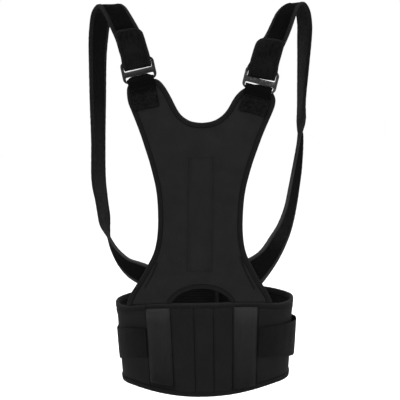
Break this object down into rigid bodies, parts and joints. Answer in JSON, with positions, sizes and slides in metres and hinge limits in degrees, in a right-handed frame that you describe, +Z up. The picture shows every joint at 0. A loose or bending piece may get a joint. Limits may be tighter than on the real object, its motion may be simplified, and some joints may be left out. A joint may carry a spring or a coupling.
{
  "type": "back brace",
  "caption": "Full-back posture brace: padded back panel, shoulder straps on slide buckles, and a waist belt that opens at the front, with elastic side straps",
  "frame": {"origin": "the middle of the waist ring, half way up the belt", "axes": "+Z up along the wearer's spine, -Y the wearer's back, +X the wearer's right hand side"},
  "size_m": [0.3991, 0.2192, 0.6684],
  "materials": {
    "knit_foam": "matt black knit bonded to foam",
    "lining_mesh": "matt black spacer mesh",
    "binding_tape": "matt black folded binding tape with stitching",
    "satin_ribbon": "dark grey satin-faced ribbon with fine vertical ribs",
    "velour_strap": "matt black brushed loop velour",
    "ribbed_webbing": "black ribbed nylon webbing",
    "ribbed_elastic": "black ribbed elastic",
    "loop_pile": "black loop pile of a touch fastener",
    "hook_tape": "black hook side of a touch fastener",
    "moulded_plastic": "black moulded acetal, slightly glossy",
    "spring_steel": "flat spring steel"
  },
  "bodies": {
    "back": {"back_panel": "knit_foam", "panel_lining": "lining_mesh", "left_edge_binding": "binding_tape", "right_edge_binding": "binding_tape", "neck_binding": "binding_tape", "arch_binding": "binding_tape", "spine_channel": "knit_foam", "spine_stays": "spring_steel", "belt_back": "knit_foam", "belt_lining": "lining_mesh", "belt_top_binding": "binding_tape", "belt_bottom_binding": "binding_tape", "left_stay_pocket": "satin_ribbon", "right_stay_pocket": "satin_ribbon", "centre_channels": "knit_foam", "centre_stays": "spring_steel", "left_webbing_loop": "ribbed_webbing", "right_webbing_loop": "ribbed_webbing", "left_webbing_patch": "ribbed_webbing", "right_webbing_patch": "ribbed_webbing", "left_shoulder_strap": "velour_strap", "right_shoulder_strap": "velour_strap", "left_strap_binding": "binding_tape", "right_strap_binding": "binding_tape"},
    "left_stay": {"left_belt_stay": "spring_steel"},
    "right_stay": {"right_belt_stay": "spring_steel"},
    "left_wing_body": {"left_wing": "knit_foam", "left_wing_lining": "lining_mesh", "left_wing_bindings": "binding_tape", "front_loop_patch": "loop_pile"},
    "right_wing_body": {"right_wing": "knit_foam", "right_wing_lining": "lining_mesh", "right_wing_bindings": "binding_tape", "front_hook_patch": "hook_tape", "pull_tab": "ribbed_webbing"},
    "left_side": {"left_side_strap": "ribbed_elastic", "left_side_hook_tab": "hook_tape"},
    "right_side": {"right_side_strap": "ribbed_elastic", "right_side_hook_tab": "hook_tape"},
    "left_slider": {"left_buckle": "moulded_plastic", "left_strap_fold": "velour_strap"},
    "right_slider": {"right_buckle": "moulded_plastic", "right_strap_fold": "velour_strap"},
    "left_tab": {"left_strap_tab": "velour_strap", "left_tab_hook": "hook_tape"},
    "right_tab": {"right_strap_tab": "velour_strap", "right_tab_hook": "hook_tape"}
  },
  "joints": [
    {"name": "left_stay_slide", "type": "slide", "parent": "back", "child": "left_stay", "axis": [0.0456, 0, -0.999], "range_m": [0, 0.12]},
    {"name": "right_stay_slide", "type": "slide", "parent": "back", "child": "right_stay", "axis": [-0.0156, 0, -0.9999], "range_m": [0, 0.12]},
    {"name": "right_wing_swing", "type": "hinge", "parent": "back", "child": "right_wing_body", "pos_m": [0.09324, -0.0894, 0], "axis": [-0.0251, 0, -0.9997], "range_deg": [0, 40]},
    {"name": "left_wing_swing", "type": "hinge", "parent": "back", "child": "left_wing_body", "pos_m": [-0.09114, -0.0894, 0], "axis": [-0.0551, 0, 0.9985], "range_deg": [0, 32]},
    {"name": "left_strap_peel", "type": "hinge", "parent": "left_wing_body", "child": "left_side", "pos_m": [-0.09114, -0.0894, 0], "axis": [-0.0551, 0, 0.9985], "range_deg": [0, 50]},
    {"name": "right_strap_peel", "type": "hinge", "parent": "right_wing_body", "child": "right_side", "pos_m": [0.09324, -0.0894, 0], "axis": [-0.0251, 0, -0.9997], "range_deg": [0, 50]},
    {"name": "left_buckle_tilt", "type": "hinge", "parent": "back", "child": "left_slider", "pos_m": [-0.1012, -0.0975, 0.4463], "axis": [0.9744, 0, 0.225], "range_deg": [-5, 10]},
    {"name": "right_buckle_tilt", "type": "hinge", "parent": "back", "child": "right_slider", "pos_m": [0.0931, -0.0975, 0.4303], "axis": [0.9703, 0, -0.2419], "range_deg": [-5, 10]},
    {"name": "left_strap_adjust", "type": "slide", "parent": "left_slider", "child": "left_tab", "axis": [-0.2551, 0.1201, 0.9594], "range_m": [0, 0.01]},
    {"name": "right_strap_adjust", "type": "slide", "parent": "right_slider", "child": "right_tab", "axis": [0.275, 0.12, 0.9539], "range_m": [0, 0.01]}
  ],
  "couplings": [
    {"joint": "left_wing_swing", "follows": "right_wing_swing", "ratio": 0.8}
  ]
}
